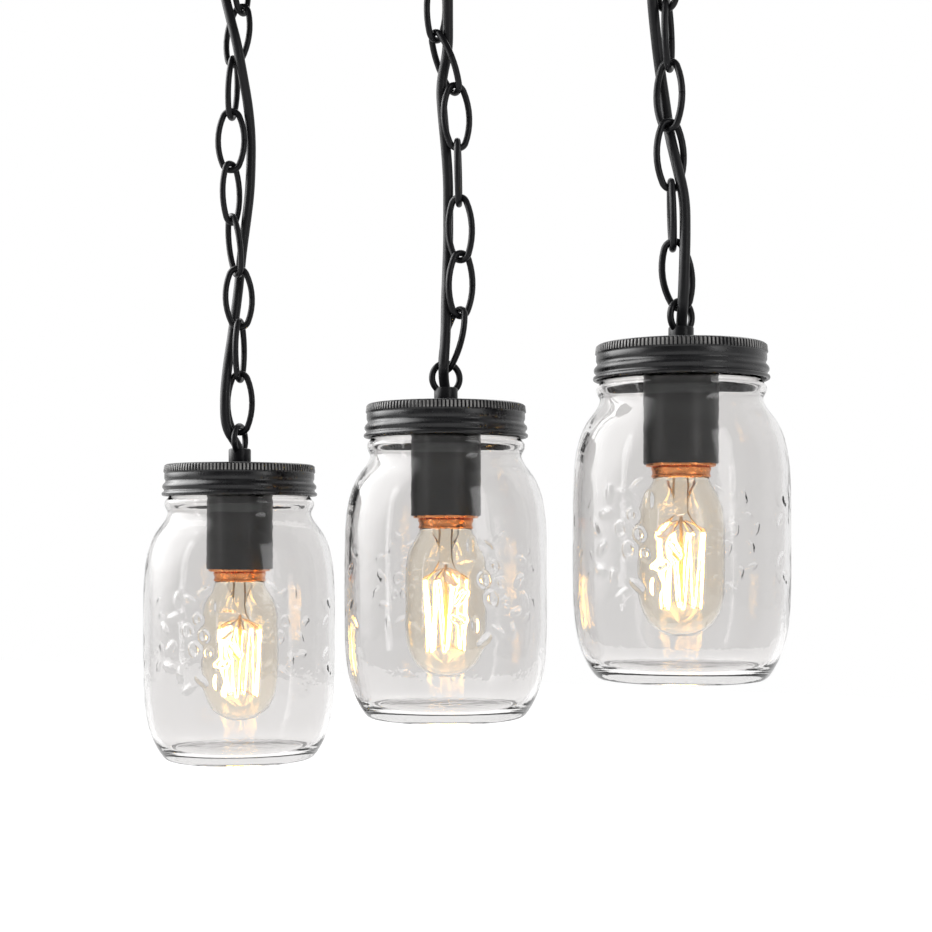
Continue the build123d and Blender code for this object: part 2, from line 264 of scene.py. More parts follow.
def crestSheenAndWear(surface, sheenAndWearColour):
    # Where the piece's crest marks are 1, the colour is painted a lighter grey in uneven patches: partly paint rubbed
    # off, partly painted highlight on the crests
    nodes = surface.node_tree.nodes
    links = surface.node_tree.links
    painted = nodes["Principled BSDF"].inputs["Base Color"].links[0].from_socket
    marks = nodes.new("ShaderNodeAttribute")
    marks.attribute_name = "crestLightAndWear"
    patches = addNoise(surface, 90)
    spread = nodes.new("ShaderNodeMapRange")
    setInputs(spread, {"From Min": 0.30, "From Max": 0.60})
    amount = addMath(nodes, "MULTIPLY")
    rubbedAndLit = nodes.new("ShaderNodeMixRGB")
    rubbedAndLit.inputs["Color2"].default_value = (*sheenAndWearColour, 1)
    links.new(patches.outputs["Fac"], spread.inputs["Value"])
    links.new(marks.outputs["Fac"], amount.inputs[0])
    links.new(spread.outputs["Result"], amount.inputs[1])
    links.new(amount.outputs[0], rubbedAndLit.inputs["Fac"])
    links.new(painted, rubbedAndLit.inputs["Color1"])
    feedShader(surface, rubbedAndLit.outputs["Color"], "Base Color")


def clearGlass(name, colour, bending, ripple, rippleScale, haze=0.0):
    glass = newSurface(name, colour, 0.0, haze)
    setInputs(glass.node_tree.nodes["Principled BSDF"], {"Transmission Weight": 1.0, "IOR": bending})
    addGrain(glass, rippleScale, ripple)
    return glass


enamels = {
    "chainEnamel": (0.32, 1800, 0.17),
    "lidEnamel": (0.28, 2600, 0.36),
    "canopyEnamel": (0.40, 2200),
}
glasses = {
    "jarGlass": ((0.80, 0.79, 0.785), 1.31, 0.0004, 38),
    "lampGlass": ((0.98, 0.945, 0.88), 1.40, 0.0001, 60, 0.05),
}
surfaces = {
    "zincSteel": ((0.55, 0.56, 0.57), 1.0, 0.38),
    "copperBrass": ((0.70, 0.27, 0.10), 1.0, 0.28),
    "holderPlastic": ((0.006, 0.006, 0.006), 0.0, 0.36, 0.42),
    "holderInner": ((0.05, 0.035, 0.025), 0.0, 0.6, 0.3),
    "cordSheath": ((0.007, 0.007, 0.008), 0.0, 0.42, 0.2),
    "whitePlastic": ((0.78, 0.78, 0.75), 0.0, 0.45),
    "glowingWire": ((1.0, 0.6, 0.25), 0.0, 0.5),
    "supportWire": ((0.55, 0.40, 0.26), 1.0, 0.35),
}
finishes = {}
for make, group in ((blackEnamel, enamels), (clearGlass, glasses), (newSurface, surfaces)):
    finishes |= {name: make(name, *settings) for name, settings in group.items()}
varyRoughness(finishes["zincSteel"], 300, 0.30, 0.46)
addGrain(finishes["zincSteel"], 900, 0.00003)
varyRoughness(finishes["copperBrass"], 260, 0.20, 0.36)
varyColour(finishes["copperBrass"], 160, (0.62, 0.22, 0.07), (0.76, 0.32, 0.13))
varyRoughness(finishes["holderPlastic"], 180, 0.30, 0.42)
addGrain(finishes["holderPlastic"], 1400, 0.00002)
addGrain(finishes["holderInner"], 1500, 0.00005)
varyRoughness(finishes["cordSheath"], 120, 0.34, 0.5)
addGrain(finishes["cordSheath"], 700, 0.00004)
varyRoughness(finishes["whitePlastic"], 200, 0.38, 0.52)
# The rib crests' lighter grey is partly rubbed paint and partly painted highlight
crestSheenAndWear(finishes["lidEnamel"], (0.21, 0.205, 0.20))
wireShader = finishes["glowingWire"].node_tree.nodes["Principled BSDF"]
setInputs(wireShader, {"Emission Color": (1.0, 0.62, 0.17, 1), "Emission Strength": 22.0})


# Modelling helpers

def leaveEdit():
    bpy.ops.object.mode_set(mode="OBJECT")


def pickPiece(piece):
    bpy.ops.object.select_all(action="DESELECT")
    piece.select_set(True)
    bpy.context.view_layer.objects.active = piece


def startEdit(kind, action):
    bpy.ops.object.mode_set(mode="EDIT")
    bpy.ops.mesh.select_mode(type=kind)
    bpy.ops.mesh.select_all(action=action)


def pickVertices(piece, wanted):
    # Selects the vertices whose place passes the test, and nothing else
    startEdit("VERT", "DESELECT")
    leaveEdit()
    for vertex in piece.data.vertices:
        vertex.select = wanted(vertex.co)
    bpy.ops.object.mode_set(mode="EDIT")


def pickFaces(piece, wanted):
    startEdit("FACE", "DESELECT")
    leaveEdit()
    for face in piece.data.polygons:
        face.select = wanted(face.center, face.normal)
    bpy.ops.object.mode_set(mode="EDIT")


def turnedForm(name, rings, sides, ends="capped"):
    # A circle is extruded ring by ring through its (radius, height) pairs in millimetres.
    # Its ends are capped, open, or joined where the last ring meets the first.
    radius, height = rings[0]
    fill = "NGON" if ends == "capped" else "NOTHING"
    bpy.ops.mesh.primitive_circle_add(
        vertices=sides, radius=radius / 1000, fill_type=fill, location=(0, 0, height / 1000),
    )
    piece = bpy.context.object
    piece.name = name
    bpy.ops.object.transform_apply(location=True)
    startEdit("VERT", "SELECT")
    for (radiusBefore, heightBefore), (radius, height) in zip(rings, rings[1:]):
        bpy.ops.mesh.extrude_region_move(TRANSFORM_OT_translate={"value": (0, 0, (height - heightBefore) / 1000)})
        bpy.ops.transform.resize(value=(radius / radiusBefore, radius / radiusBefore, 1))
    bpy.ops.mesh.select_all(action="SELECT")
    if ends == "joined":
        bpy.ops.mesh.remove_doubles(threshold=0.000002)
    bpy.ops.mesh.normals_make_consistent(inside=False)
    leaveEdit()
    return piece


def applyModifier(piece, kind, **settings):
    modifier = piece.modifiers.new("shaping", kind)
    for name, value in settings.items():
        setattr(modifier, name, value)
    bpy.context.view_layer.objects.active = piece
    bpy.ops.object.modifier_apply(modifier=modifier.name)


def roundEdges(piece, width, segments=2):
    applyModifier(piece, "BEVEL", width=width, segments=segments, limit_method="ANGLE", angle_limit=radians(50))


def threadRings(radius, top, bottom, pitch, turn):
    # One turn of the thread, in (inwards, down) pairs, is repeated from the top to the bottom
    rings = []
    height = top
    while height > bottom:
        rings += [(radius - inwards, height - down) for inwards, down in turn]
        height -= pitch
    return rings


def smooth(piece, angle=35):
    pickPiece(piece)
    bpy.ops.object.shade_smooth_by_angle(angle=radians(angle))


def smoothFlats(piece):
    # Large flat faces keep their own direction up to the small rounded edges round them
    smooth(piece, 30)
    applyModifier(piece, "WEIGHTED_NORMAL", keep_sharp=True)


def wireCurve(name, points, radius, roundness, fineness):
    # A round wire on a smooth line along points in metres
    line = bpy.data.curves.new(name, "CURVE")
    line.dimensions = "3D"
    line.bevel_depth = radius / 1000
    line.bevel_resolution = roundness
    line.resolution_u = fineness
    line.use_fill_caps = True
    spline = line.splines.new("NURBS")
    spline.points.add(len(points) - 1)
    for knot, point in zip(spline.points, points):
        knot.co = (*point, 1)
    spline.order_u = 3
    spline.use_endpoint_u = True
    wire = bpy.data.objects.new(name, line)
    bpy.context.collection.objects.link(wire)
    return wire


def joinPieces(name, pieces):
    bpy.ops.object.select_all(action="DESELECT")
    for piece in pieces:
        piece.select_set(True)
    bpy.context.view_layer.objects.active = pieces[0]
    if len(pieces) > 1:
        bpy.ops.object.join()
    joined = bpy.context.object
    joined.name = name
    return joined


def settle(piece, transform=None):
    # Puts the piece's place into its mesh
    pickPiece(piece)
    if transform is not None:
        piece.matrix_world = transform
    bpy.ops.object.transform_apply(location=True, rotation=True, scale=True)


def copyTo(pattern, name, transform):
    # A copy with its own mesh
    copy = pattern.copy()
    copy.data = pattern.data.copy()
    copy.name = name
    bpy.context.collection.objects.link(copy)
    settle(copy, transform)
    return copy


def finishPiece(piece, finish, body, slot, *nodes):
    piece.data.materials.clear()
    piece.data.materials.append(finishes[finish])
    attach(piece, body)
    if nodes:
        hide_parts(*nodes)


def dropPattern(pattern):
    bpy.data.objects.remove(pattern, do_unlink=True)


def hangCopies(pattern, pieceName, part, finish, slot, *nodes, turns=None):
    # The same piece on each pendant, modelled with the lid's top at height 0
    for pendant, spot in pendants.items():
        place = Matrix.Translation((spot["x"], 0, spot["lidTop"]))
        if turns:
            place = place @ Matrix.Rotation(radians(turns[pendant]), 4, "Z")
        piece = copyTo(pattern, f"{pendant}{pieceName}", place)
        finishPiece(piece, finish, f"{pendant}_{part}", slot, *[f"{pendant}_{node}" for node in nodes])
    dropPattern(pattern)


# Chains

chains = {
    "wireRadius": 1.5,
    "pitch": 26.0,
    "gap": 0.3,
    "halfWidth": 6.5,
    "bowRadius": 4.4,
    "bowSteps": 20,
    "limbSteps": 4,
    "wireSegments": 14,
    "seamWidth": 0.30,
    "seamDepth": 0.22,
    "sideTurn": 25.5,
    "firstMeeting": {"left": -43.55, "middle": -46.25, "right": -48.15},
    "sides": {
        "left": [0, 1, -2.8, -4.2, -4.4, -4.2, -1, 0, 0, 0],
        "middle": [0, -4, -5, 4.5, 5.4, 6, 7.2, 6.5, 0],
        "right": [0, -4.8, -6, -5.2, -5, -4.4, -3.6, 0],
    },
    "turns": {
        "left": [90, 0, 104.5, 23.5, 84.5, -33, 31.5, 104.5, 10.5],
        "middle": [0, 75.5, -33.5, 50.5, 112.5, -7.5, 58, -25.5],
        "right": [90, -19.5, 95.5, -14.5, 45.5, 113.5, 1.5],
    },
}


def sidePoint(pendant, side, out, height):
    # To the side and out towards the room, as the photograph shows them, in metres
    turn = radians(chains["sideTurn"])
    across = (side * cos(turn) + out * sin(turn)) / 1000
    back = (side * sin(turn) - out * cos(turn)) / 1000
    return Vector((pendants[pendant]["x"] + across, back, height / 1000))


def spinOn(steps, degrees, centre):
    middle = (centre[0] / 1000, 0, centre[1] / 1000)
    bpy.ops.mesh.spin(steps=steps, angle=radians(degrees), center=middle, axis=(0, 1, 0))


def linkPattern():
    # The wire's round section is spun on through two limbs and two bows, to an oval that closes on itself
    bow = chains["bowRadius"]
    wide = chains["halfWidth"]
    bowHeight = (chains["pitch"] + chains["gap"]) / 2 + chains["wireRadius"] - bow
    limbRadius = (bowHeight ** 2 + (wide - bow) ** 2) / (2 * (wide - bow)) + bow
    limbCentre = limbRadius - wide
    join = degrees(asin(bowHeight / (limbRadius - bow)))
    bpy.ops.mesh.primitive_circle_add(
        vertices=chains["wireSegments"], radius=chains["wireRadius"] / 1000, location=(wide / 1000, 0, 0),
    )
    link = bpy.context.object
    link.name = "linkPattern"
    bpy.ops.object.transform_apply(location=True)
    startEdit("VERT", "SELECT")
    spinOn(chains["limbSteps"], join, (-limbCentre, 0))
    spinOn(chains["bowSteps"], 180 - 2 * join, (0, bowHeight))
    spinOn(2 * chains["limbSteps"], 2 * join, (limbCentre, 0))
    spinOn(chains["bowSteps"], 180 - 2 * join, (0, -bowHeight))
    spinOn(chains["limbSteps"], join, (-limbCentre, 0))
    bpy.ops.mesh.select_all(action="SELECT")
    bpy.ops.mesh.remove_doubles(threshold=0.00002)
    bpy.ops.mesh.normals_make_consistent(inside=False)
    leaveEdit()
    # Its butt seam is a fine groove round one limb
    pickVertices(link, lambda place: abs(place.z) < 0.0001 and place.x > 0)
    bpy.ops.mesh.bevel(offset=chains["seamWidth"] / 2000, segments=2, affect="EDGES")
    leaveEdit()
    pickVertices(link, lambda place: abs(place.z) < 0.00002 and place.x > 0)
    shrink = 1 - chains["seamDepth"] / chains["wireRadius"]
    bpy.ops.transform.resize(value=(shrink, shrink, 1))
    leaveEdit()
    return link


def linkPlace(top, bottom, turn):
    along = (top - bottom).normalized()
    width = Vector((cos(radians(turn)), sin(radians(turn)), 0))
    width = (width - along * width.dot(along)).normalized()
    depth = along.cross(width)
    middle = (top + bottom) / 2
    return Matrix([(*width, 0), (*depth, 0), (*along, 0), (*middle, 1)]).transposed()


def meetingPoints(pendant):
    sides = chains["sides"][pendant]
    height = chains["firstMeeting"][pendant]
    points = [sidePoint(pendant, sides[0], 0, height)]
    for above, below in zip(sides, sides[1:]):
        height -= (chains["pitch"] ** 2 - (below - above) ** 2) ** 0.5
        points.append(sidePoint(pendant, below, 0, height))
    return points


def buildChains():
    pattern = linkPattern()
    for pendant in pendants:
        points = meetingPoints(pendant)
        turns = chains["turns"][pendant]
        links = []
        for number, (top, bottom, turn) in enumerate(zip(points, points[1:], turns)):
            links.append(copyTo(pattern, f"{pendant}Link{number}", linkPlace(top, bottom, turn)))
        topLink = links[0]
        smooth(topLink)
        topLink.name = f"{pendant}TopLink"
        finishPiece(topLink, "chainEnamel", f"{pendant}_top_link", "black_enamel", f"{pendant}_top_link")
        chain = joinPieces(f"{pendant}Chain", links[1:])
        smooth(chain)
        finishPiece(chain, "chainEnamel", f"{pendant}_chain", "black_enamel", f"{pendant}_chain")
    dropPattern(pattern)


buildChains()
print("chains ready")


# Cords

cords = {
    "radius": 2.4,
    "routes": {
        "left": [
            (0, 0, -3), (1, -0.5, 4), (-1.5, 1, 10.5), (-6.5, 3.5, 18), (-7, 4, 32.5), (-6, 2, 47),
            (-4.5, -2.5, 61.5), (-3, -6, 76), (-1.5, -8, 90.5), (0, -6.5, 105), (2.5, -3.5, 119.5),
            (4.5, -3, 134.5), (5, -4, 149), (5, -4.5, 163.5), (4, -1.5, 178), (2, 5, 192.5), (-0.5, 7.5, 207),
            (-4.5, 5.5, 221.5), (-8, 3.5, 236), (-7, 2.5, 250.5), (-2, 0.5, 258), (1, -0.5, 264.5), (0.5, 0, 271.5),
        ],
        "middle": [
            (0, 0, -3), (0.5, -1, 4), (-1, 2, 10.5), (-1, 7.5, 18), (0, 3, 32.5), (0, -2.5, 47),
            (0.5, -6.5, 61.5), (1, -8.5, 76.5), (1, -8, 91), (1, -5.5, 105.5), (0, -3.5, 120),
            (-1.5, -2, 134.5), (-2.5, -1.5, 149), (1, 0, 164), (1, 3, 178.5), (1, 6.5, 193), (2, 8, 207.5),
            (2.5, 7, 222), (0.5, 1.5, 229.5), (-0.5, -1, 236), (0, -0.5, 243),
        ],
        "right": [
            (0, -0.5, -3), (0, -1, 4), (0, 2, 10.5), (0, 6.5, 18), (0.5, 7, 33), (1, 6, 48), (1, 4.5, 63),
            (-2, 1, 78), (-4.5, -5, 93), (-6, -8.5, 108), (-8.5, -7.5, 123), (-11, -2.5, 138), (-13, 1.5, 153.5),
            (-12.5, 2.5, 168.5), (-10.5, 3, 183.5), (-7.5, 2.5, 198.5), (-1.5, 0.5, 206), (0.5, -0.5, 212.5),
            (0.5, 0, 219.5),
        ],
    },
    "lengths": {"left": 0.281, "middle": 0.251, "right": 0.228},
}


def buildCord(pendant):
    points = []
    for side, out, height in cords["routes"][pendant]:
        place = sidePoint(pendant, side, out, 0)
        points.append((place.x, place.y, pendants[pendant]["lidTop"] + height / 1000))
    cord = wireCurve(f"{pendant}Cord", points, cords["radius"], 5, 8)
    finishPiece(cord, "cordSheath", f"{pendant}_chain", "cord_black", f"{pendant}_cord")


for pendant in pendants:
    buildCord(pendant)
print("cords ready")


# Loops, on the lids and under the canopy

loops = {
    "ringRadius": 6.85,
    "wireRadius": 1.5,
    "ringHeight": 12.35,
    "collarRadius": 5.5,
    "collarHeight": 8.0,
    "stemRadius": 4.85,
    "lidStem": 15.0,
    "canopyStem": 12.0,
    "boreRadius": 3.5,
    "threadPitch": 1.5,
    "threadTurn": [(0, 0), (0.35, 0.4), (0.35, 0.6), (0, 1.0)],
    "lidTurns": {"left": 100.5, "middle": 48.0, "right": 66.5},
    "canopyTurns": {"left": 0.0, "middle": 90.0, "right": 0.0},
    "canopyTrims": {"left": 0.0, "middle": 2.7, "right": 4.6},
}


def buildLoop(name, trim, stem):
    top = trim + loops["collarHeight"]
    outer = loops["collarRadius"]
    bore = loops["boreRadius"]
    thread = loops["stemRadius"]
    rings = [
        (bore, top - 0.4), (bore + 0.4, top), (outer - 0.8, top), (outer - 0.25, top - 0.25), (outer, top - 0.8),
        (outer, 0.6), (outer - 0.2, 0.1), (outer - 0.6, 0), (thread, -0.01),
    ]
    rings += threadRings(thread, -0.4, -stem + 0.5, loops["threadPitch"], loops["threadTurn"])
    rings += [(thread - 0.5, -stem), (bore, -stem), (bore, top - 0.4)]
    collar = turnedForm(f"{name}Collar", rings, 40, "joined")
    bpy.ops.mesh.primitive_torus_add(
        major_radius=loops["ringRadius"] / 1000, minor_radius=loops["wireRadius"] / 1000, major_segments=48,
        minor_segments=16, location=(0, 0, (trim + loops["ringHeight"]) / 1000), rotation=(radians(90), 0, 0),
    )
    ring = bpy.context.object
    settle(ring)
    # The ring is open inside the collar's bore, where the cord passes
    pickVertices(ring, lambda place: place.z < (top - 0.5) / 1000 and abs(place.x) < (bore + 0.6) / 1000)
    bpy.ops.mesh.delete(type="VERT")
    leaveEdit()
    loop = joinPieces(name, [collar, ring])
    smooth(loop, 40)
    return loop


def buildLoops():
    lidLoop = buildLoop("lidLoop", 0, loops["lidStem"])
    hangCopies(
        lidLoop, "HangingLoop", "head", "chainEnamel", "black_enamel", "hanging_loop", turns=loops["lidTurns"],
    )
    canopyLoops = []
    for pendant, spot in pendants.items():
        loop = buildLoop(f"{pendant}CanopyLoop", loops["canopyTrims"][pendant], loops["canopyStem"])
        turned = Matrix.Rotation(radians(loops["canopyTurns"][pendant]), 4, "Z")
        upsideDown = Matrix.Rotation(radians(180), 4, "X") @ turned
        settle(loop, Matrix.Translation((spot["x"], 0, canopyUnderside)) @ upsideDown)
        canopyLoops.append(loop)
    canopySet = joinPieces("canopyLoops", canopyLoops)
    finishPiece(canopySet, "chainEnamel", "canopy", "black_enamel", "canopy_loops")


buildLoops()
print("loops ready")


# Lids

lid = {
    "sides": 132,
    "ribSteps": [(0.38, 0.38), (0.12, 0.10)],
    "ribBand": (-3.0, -2.0),
    "ribBandRadius": 36.2,
    "turns": {"left": 0, "middle": 7, "right": 13},
    "skirt": [
        (34.8, 0.0), (35.9, -0.08), (36.3, -0.35), (36.75, -4.2), (36.6, -4.5), (36.72, -4.9), (36.72, -6.8),
        (36.6, -7.3), (36.3, -7.7), (36.25, -8.6), (36.7, -9.2), (37.4, -9.9), (37.75, -10.8), (37.6, -11.7),
        (37.0, -12.3), (36.85, -12.9), (37.2, -13.4), (37.9, -13.9), (38.1, -14.6), (37.9, -15.2), (37.4, -15.5),
        (36.8, -15.3), (36.5, -14.8), (36.3, -13.4), (35.9, -12.4), (36.4, -11.0), (35.7, -9.4), (35.5, -8.0),
        (35.5, -1.9), (34.6, -1.2),
    ],
}


def buildLids():
    underside = [(30.6, -1.2), (29.8, -1.2), (5.0, -1.2), (5.0, -0.7)]
    top = [(29.2, -0.7), (29.8, -0.55), (30.4, -0.1), (31.4, 0.0)]
    rings = lid["skirt"] + underside + top + [lid["skirt"][0]]
    pattern = turnedForm("lidPattern", rings, lid["sides"], "joined")
    # One rib for each side of the straight band
    low, high = [height / 1000 for height in lid["ribBand"]]
    outside = lid["ribBandRadius"] / 1000
    pickFaces(pattern, lambda place, normal: low < place.z < high and place.xy.length > outside)
    for inset, depth in lid["ribSteps"]:
        bpy.ops.mesh.inset(thickness=inset / 1000, depth=depth / 1000, use_individual=True)
    leaveEdit()
    # Their crests, still selected, are marked for the lighter grey: rubbed paint and painted highlight
    crestLightAndWear = pattern.data.attributes.new("crestLightAndWear", "FLOAT", "POINT")
    for vertex, mark in zip(pattern.data.vertices, crestLightAndWear.data):
        mark.value = float(vertex.select)
    smooth(pattern, 52)
    hangCopies(pattern, "Lid", "head", "lidEnamel", "black_enamel", "screw_lid", turns=lid["turns"])


buildLids()
print("lids ready")


# Lamp holders

holder = {
    "top": -5.2,
    "bottom": -51.5,
    "radius": 16.25,
    "wall": 0.9,
    "bore": 4.9,
    "bodyRadius": 15.2,
    "bodyBottom": -50.0,
    "cavityRadius": 13.9,
    "cavityTop": -24.0,
    "shellRadius": 13.75,
    "shellTop": -28.0,
    "shellFlange": 15.1,
    "threadPitch": 3.6,
    "threadTurn": [(0, 0), (0.25, 0.9), (0.1, 1.8), (0, 2.7)],
}


def buildHolders():
    outer = holder["radius"]
    inner = outer - holder["wall"]
    bore = holder["bore"]
    top = holder["top"]
    bottom = holder["bottom"]
    cover = turnedForm("coverPattern", [
        (bore, top), (outer - 3.5, top), (outer - 1.6, top - 0.4), (outer - 0.5, top - 1.4), (outer - 0.1, top - 3),
        (outer - 0.05, top - 12), (outer, bottom + 4), (outer, bottom + 0.5), (outer - 0.2, bottom),
        (inner + 0.15, bottom), (inner, bottom + 0.4), (inner, top - 1.9), (inner - 1.2, top - 0.9),
        (bore, top - 0.9), (bore, top),
    ], 72, "joined")
    smooth(cover)
    hangCopies(cover, "HolderCover", "head", "holderPlastic", "holder_black", "socket_cover")
    wide = holder["bodyRadius"]
    cavity = holder["cavityRadius"]
    bodyTop = top - holder["wall"]
    body = turnedForm("bodyPattern", [
        (5, bodyTop - 0.1), (wide - 1.6, bodyTop - 0.1), (wide - 0.3, bodyTop - 1.4), (wide - 0.1, -48.8),
        (wide - 0.3, -49.9), (cavity + 0.1, -49.9), (cavity, -49.4), (cavity, holder["cavityTop"]),
        (3, holder["cavityTop"]), (3, -17), (5, -16.5), (5, bodyTop - 0.1),
    ], 64, "joined")
    smooth(body)
    hangCopies(body, "HolderBody", "head", "holderInner", "holder_inner", "socket_body")
    # The threaded shell, rolled into round waves
    radius = holder["shellRadius"]
    wave = threadRings(
        radius, holder["shellTop"], holder["bodyBottom"] + 2, holder["threadPitch"], holder["threadTurn"],
    )
    lip = holder["shellFlange"]
    rings = wave + [(radius, -50.4), (radius + 0.3, -50.8), (lip - 0.3, -50.9), (lip, -51.2), (lip + 0.1, -51.9)]
    rings += [(lip, -52.4), (lip - 0.35, -52.6), (lip - 0.7, -52.3), (radius + 0.1, -51.6), (radius - 0.35, -51.0)]
    rings += [(turn - 0.3, height) for turn, height in reversed(wave)] + [wave[0]]
    shell = turnedForm("shellPattern", rings, 64, "joined")
    smooth(shell)
    hangCopies(shell, "HolderShell", "head", "copperBrass", "brass", "socket_shell")


buildHolders()
print("holders ready")


# Jars

jar = {
    "sides": 64,
    "smoothing": 2,
    "outsideSpacing": 4.6,
    "insideSpacing": 9.0,
    "outside": [
        (33.6, -1.5), (34.1, -2.0), (34.2, -3.2), (34.0, -6), (34.5, -8), (34.5, -11), (34.2, -14), (34.6, -16.4),
        (36.2, -17.4), (37.0, -19.2), (36.4, -21.2), (35.3, -22.8), (35.1, -24.4), (35.9, -26.6), (38.0, -29.6),
        (40.4, -32.6), (42.4, -36.0), (44.0, -40.2), (45.3, -45.0), (46.2, -51.0), (46.7, -58.0), (46.95, -66),
        (47.0, -76), (47.0, -96), (46.9, -106), (46.6, -114), (45.9, -121), (44.8, -127.5), (43.0, -133),
        (40.8, -138), (38.6, -141.6), (37.2, -143.4), (36.0, -144.3), (34.8, -144.4), (33.8, -143.8), (33.0, -142.8),
        (31, -142.2), (20, -141.6), (6, -141.4),
    ],
    "inside": [
        (6, -138.9), (20, -139.1), (30, -139.5), (34.4, -139.4), (37.2, -137.6), (39.6, -133.8), (41.6, -128.2),
        (42.9, -121.5), (43.7, -113), (43.9, -105), (44.0, -95), (44.0, -75), (43.8, -66), (43.5, -58), (43.0, -51),
        (42.0, -45), (40.6, -40), (38.6, -35.6), (36.8, -31.6), (34.6, -28), (33.3, -24.8), (33.6, -22.4),
        (34.6, -19.4), (34.0, -16.8), (32.8, -13), (32.2, -9), (32.1, -3.6), (32.3, -2.0), (32.9, -1.5),
    ],
    "turns": {"left": 8, "middle": 52, "right": -8},
}

# The raised design: a wreath of leaves on the front and the back, and a column of small leaves on each side.
# All are ovals: (degrees round the jar, height, half width, half height, tilt, kind)
relief = {
    "steps": [(1.0, 0.34), (0.78, 0.28), (0.52, 0.20), (0.28, 0.10)],
    "hollow": 0.52,
    "wreathHeight": -84.0,
    "wreathWidth": 17.0,
    "wreathTall": 21.0,
    "leaves": 16,
    "leafHalfWidth": 1.8,
    "leafHalfHeight": 3.9,
    "leafOffset": 1.9,
    "flankLeaves": 7,
    "flankPitch": 8.0,
    "flankTop": -60.0,
    "flankOffset": 2.8,
    "flankLeaf": (1.6, 3.4, 55),
    "leafLean": 48,
    "berries": [(-4.2, -80, 3.0), (4.0, -82, 2.6), (-0.5, -88.5, 3.2), (6.5, -90, 2.0), (0.8, -74, 2.2)],
    "berryTilt": 20,
    "jarRadius": 47,
    "leastRadius": 45.2,
    "span": (-118, -50),
    "shelf": 12,
}


def denserRings(rings, spacing):
    # Puts rings between those that stand further apart than the spacing
    result = [rings[0]]
    for (radiusBefore, heightBefore), (radius, height) in zip(rings, rings[1:]):
        parts = max(1, round(hypot(radius - radiusBefore, height - heightBefore) / spacing))
        for part in range(1, parts + 1):
            share = part / parts
            between = radiusBefore + (radius - radiusBefore) * share
            result.append((between, heightBefore + (height - heightBefore) * share))
    return result


def reliefOvals():
    ovals = []
    for front in (-90, 90):
        for leaf in range(relief["leaves"]):
            turn = 2 * pi * (leaf + 0.5) / relief["leaves"]
            outward = relief["leafOffset"] if leaf % 2 else -relief["leafOffset"]
            across = (relief["wreathWidth"] + outward) * cos(turn)
            up = relief["wreathHeight"] + (relief["wreathTall"] + outward) * sin(turn)
            along = degrees(atan2(relief["wreathTall"] * cos(turn), -relief["wreathWidth"] * sin(turn))) - 90
            lean = relief["leafLean"] if leaf % 2 else -relief["leafLean"]
            shape = (relief["leafHalfWidth"], relief["leafHalfHeight"], along + lean)
            ovals.append((front + degrees(across / relief["jarRadius"]), up, *shape, "leaf"))
        for across, up, half in relief["berries"]:
            around = front + degrees(across / relief["jarRadius"])
            ovals.append((around, up, half, half * 1.25, relief["berryTilt"], "ring"))
    halfWidth, halfHeight, tilt = relief["flankLeaf"]
    for flank in (0, 180):
        for leaf in range(relief["flankLeaves"]):
            side = 1 if leaf % 2 else -1
            up = relief["flankTop"] - leaf * relief["flankPitch"]
            ovals.append((flank + side * relief["flankOffset"], up, halfWidth, halfHeight, side * tilt, "faint"))
    return ovals


def raiseRelief(pattern):
    # Each shelf of the wall's height keeps the ovals that reach it
    shelf = relief["shelf"]
    bottom, top = relief["span"]
    shelves = {}
    for around, height, halfWidth, halfHeight, tilt, kind in reliefOvals():
        oval = (around, height, halfWidth, halfHeight, cos(radians(tilt)), sin(radians(tilt)), kind)
        for number in {round((height - shelf / 2) / shelf), round((height + shelf / 2) / shelf)}:
            shelves.setdefault(number, []).append(oval)

    def onDesign(place, share):
        height = place.z * 1000
        if not bottom < height < top or place.xy.length < relief["leastRadius"] / 1000:
            return False
        around = degrees(atan2(place.y, place.x))
        for centre, middle, halfWidth, halfHeight, cosine, sine, kind in shelves.get(round(height / shelf), []):
            if kind == "faint" and share < 1:
                continue
            across = radians((around - centre + 180) % 360 - 180) * relief["jarRadius"]
            up = height - middle
            reach = hypot((across * cosine + up * sine) / halfWidth, (up * cosine - across * sine) / halfHeight)
            if kind == "ring" and share <= 1:
                # A ring: it rises to the middle of its band and falls again to the hollow
                reach = abs(reach - (1 + relief["hollow"]) / 2) * 2 / (1 - relief["hollow"])
            if reach < share:
                return True
        return False

    pickFaces(pattern, lambda place, normal: onDesign(place, 1.3))
    bpy.ops.mesh.subdivide(number_cuts=1)
    leaveEdit()
    for share, rise in relief["steps"]:
        pickVertices(pattern, lambda place: onDesign(place, share))
        bpy.ops.transform.shrink_fatten(value=rise / 1000)
        leaveEdit()
    pickVertices(pattern, lambda place: onDesign(place, 1.25))
    bpy.ops.mesh.vertices_smooth(factor=0.5, repeat=1)
    leaveEdit()


def buildJars():
    # From the floor inside, up over the rim and down to the base, as one closed wall
    rings = denserRings(jar["inside"], jar["insideSpacing"]) + denserRings(jar["outside"], jar["outsideSpacing"])
    pattern = turnedForm("jarPattern", rings, jar["sides"])
    applyModifier(pattern, "SUBSURF", levels=jar["smoothing"], render_levels=jar["smoothing"])
    raiseRelief(pattern)
    smooth(pattern, 180)
    hangCopies(pattern, "Jar", "jar", "jarGlass", "jar_glass", "jar", turns=jar["turns"])


buildJars()
print("jars ready")


# Lamps

